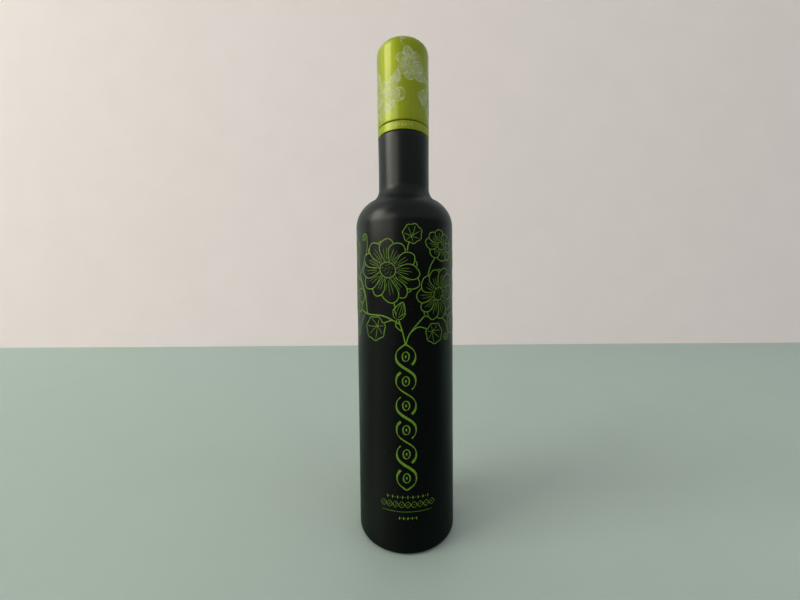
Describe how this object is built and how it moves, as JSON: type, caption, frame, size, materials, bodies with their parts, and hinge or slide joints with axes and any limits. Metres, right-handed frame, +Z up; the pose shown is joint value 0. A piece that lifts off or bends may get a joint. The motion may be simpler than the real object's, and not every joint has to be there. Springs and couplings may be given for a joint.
{
  "type": "olive oil bottle",
  "caption": "Tall straight-sided oil bottle in black lacquered glass, shut by a long lime aluminium screw cap with its tamper ring.",
  "frame": {"origin": "centre of the flat ring under the base that the bottle stands on, on the bottle's axis", "axes": "+Z up along the bottle's axis to the top of the cap; -Y faces out of the printed front"},
  "size_m": [0.06, 0.06, 0.297],
  "materials": {
    "black_lacquer": "opaque satin black lacquer over the whole outside of the glass",
    "lime_aluminium": "satin lime lacquer over drawn aluminium",
    "lime_ink": "opaque lime screen-print ink",
    "pale_ink": "thin see-through white ink on the closure, in two passes"
  },
  "bodies": {
    "root": {"bottle": "black_lacquer", "cap": "lime_aluminium", "tamper_ring": "lime_aluminium"}
  },
  "joints": []
}
